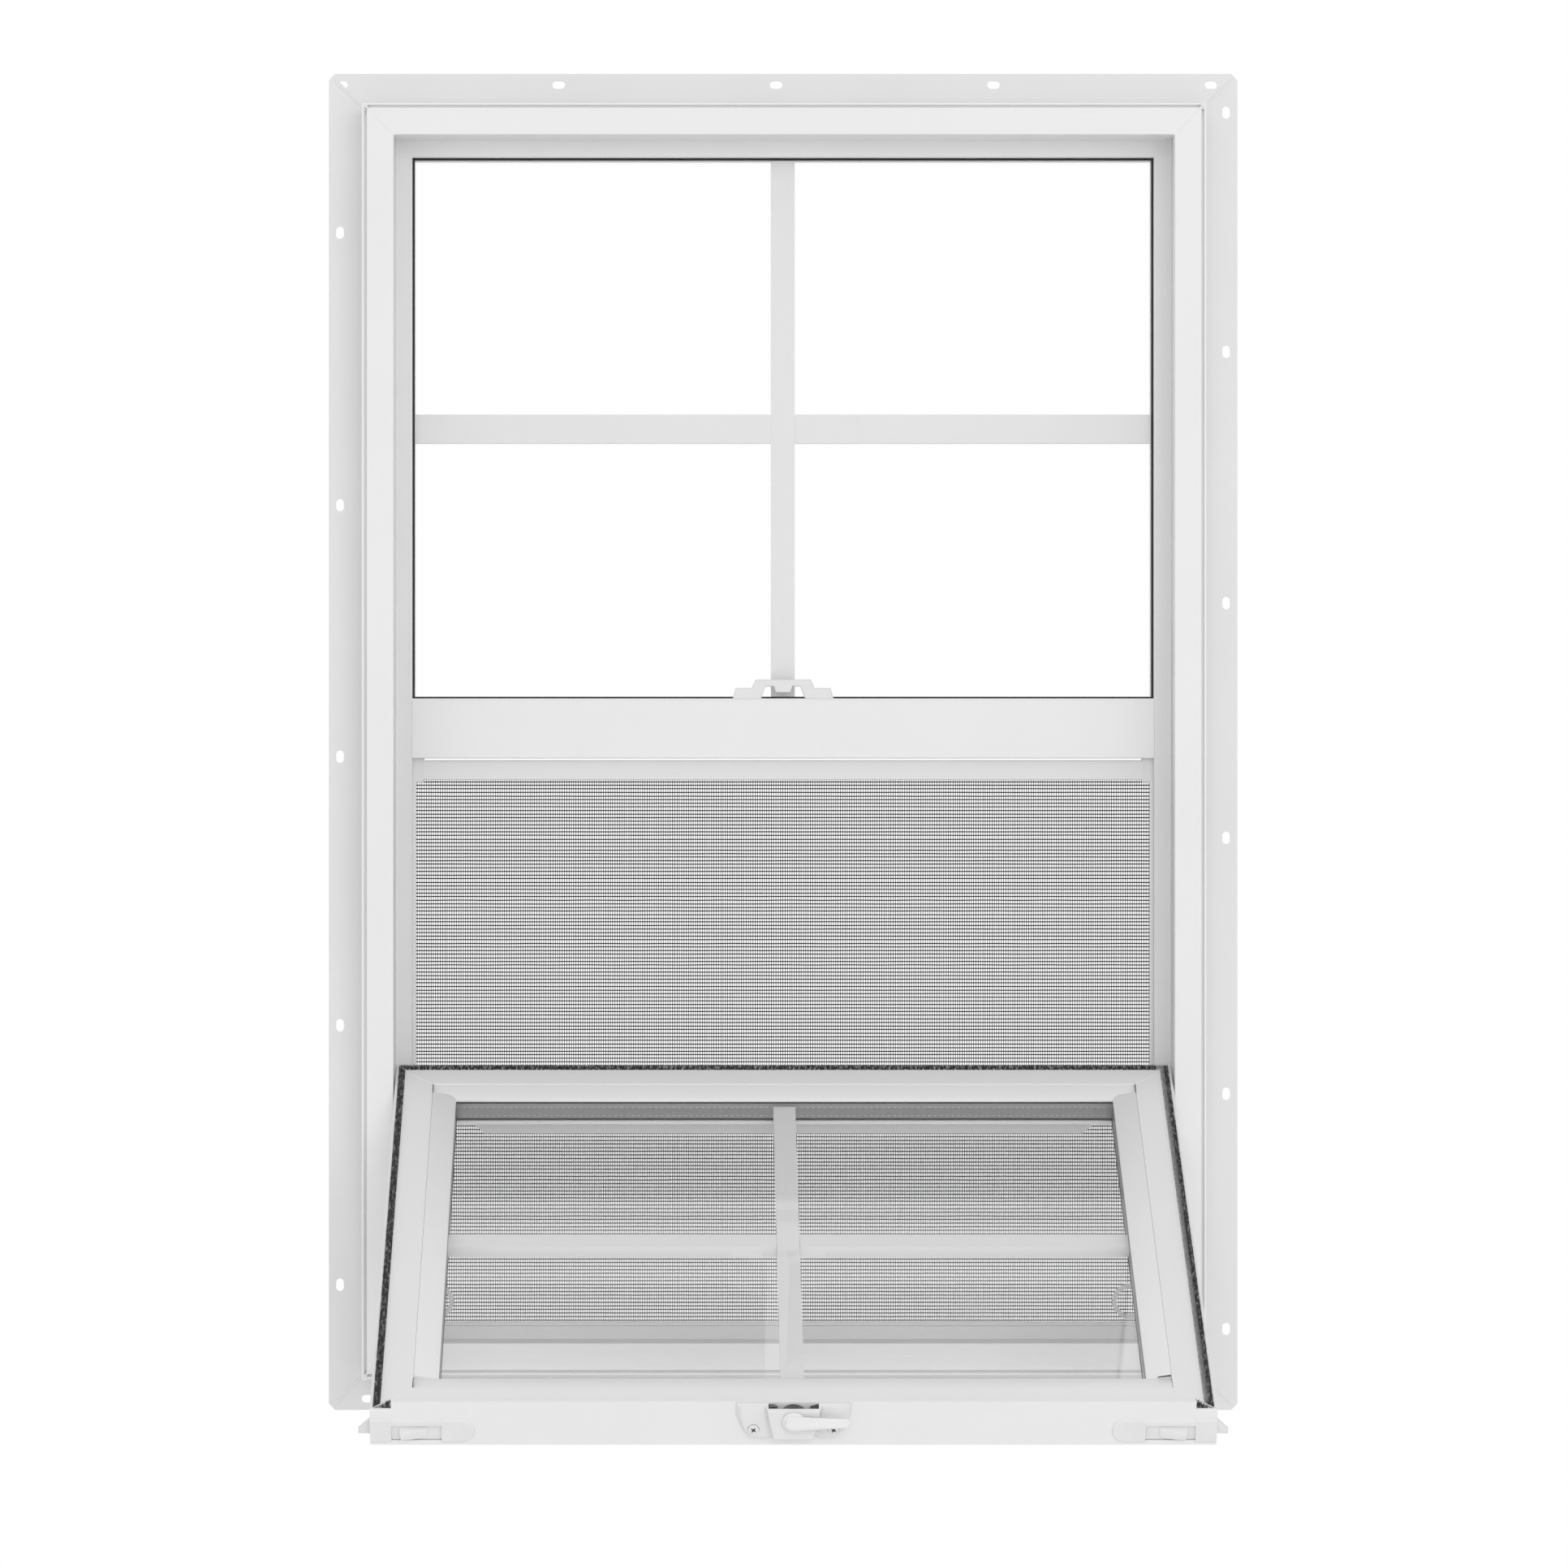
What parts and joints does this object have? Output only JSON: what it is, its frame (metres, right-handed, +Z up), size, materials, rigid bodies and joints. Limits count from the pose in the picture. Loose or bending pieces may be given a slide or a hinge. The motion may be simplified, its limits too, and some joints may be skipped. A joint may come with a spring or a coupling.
{
  "type": "single hung window",
  "caption": "Finned single hung window: fixed upper light over an insect screen and a lower sash tilted in, with cam lock and tilt latches.",
  "frame": {"origin": "on the flat wall face of the nail fin, at mid-width of the bottom fin", "axes": "+X right seen from the room, +Y from the room to the outdoors, +Z up"},
  "size_m": [0.6478, 0.4746, 0.9525],
  "materials": {
    "vinyl": "satin white extruded vinyl",
    "sash_vinyl": "satin white extruded vinyl",
    "glass": "clear float glass",
    "spacer": "grey roll-formed spacer with fine holes",
    "grille": "white painted flat bars in the air gap",
    "hardware": "white moulded hardware",
    "zinc": "white painted die casting",
    "steel": "zinc plated steel",
    "screen_frame": "white painted roll-formed bars",
    "mesh": "dark woven glass-fibre insect mesh",
    "pile": "dark woven pile weatherstrip"
  },
  "bodies": {
    "window": {"frame_head": "vinyl", "frame_sill": "vinyl", "frame_left_jamb": "vinyl", "frame_right_jamb": "vinyl", "meeting_rail": "vinyl", "keeper": "zinc", "upper_glass": "glass", "upper_spacer": "spacer", "upper_grille": "grille", "upper_beads": "vinyl", "screen_top_bar": "screen_frame", "screen_bottom_bar": "screen_frame", "screen_side_bars": "screen_frame", "screen_corner_keys": "hardware", "screen_mesh": "mesh", "screen_stops": "vinyl", "screen_pull_tabs": "hardware", "sash_left_stile": "sash_vinyl", "sash_right_stile": "sash_vinyl", "sash_bottom_rail": "sash_vinyl", "sash_top_rail": "sash_vinyl", "sash_interlock": "sash_vinyl", "sash_lift": "sash_vinyl", "sash_glass": "glass", "sash_spacer": "spacer", "sash_grille": "grille", "sash_bead_left": "sash_vinyl", "sash_bead_right": "sash_vinyl", "sash_bead_bottom": "sash_vinyl", "sash_bead_top": "sash_vinyl", "sash_side_piles": "pile", "sash_bottom_pile": "pile", "sash_top_piles": "pile", "balance_shoes": "hardware", "pivot_bars": "steel", "balances": "steel", "latch_housing_left": "hardware", "latch_housing_right": "hardware", "lock_base": "zinc", "lock_screws": "steel"},
    "lock_lever": {"lock_lever": "zinc"},
    "latch_left": {"latch_bolt_left": "hardware"},
    "latch_right": {"latch_bolt_right": "hardware"}
  },
  "joints": [
    {"name": "lock_turn", "type": "hinge", "parent": "window", "child": "lock_lever", "pos_m": [0, -0.42626, 0.0175], "axis": [0, 0.8878, 0.4602], "range_deg": [0, 180]},
    {"name": "latch_left_slide", "type": "slide", "parent": "window", "child": "latch_left", "axis": [1, 0, 0], "range_m": [0, 0.009], "stiffness_N_per_m": 300, "springref_m": -0.004},
    {"name": "latch_right_slide", "type": "slide", "parent": "window", "child": "latch_right", "axis": [-1, 0, 0], "range_m": [0, 0.009], "stiffness_N_per_m": 300, "springref_m": -0.004}
  ]
}
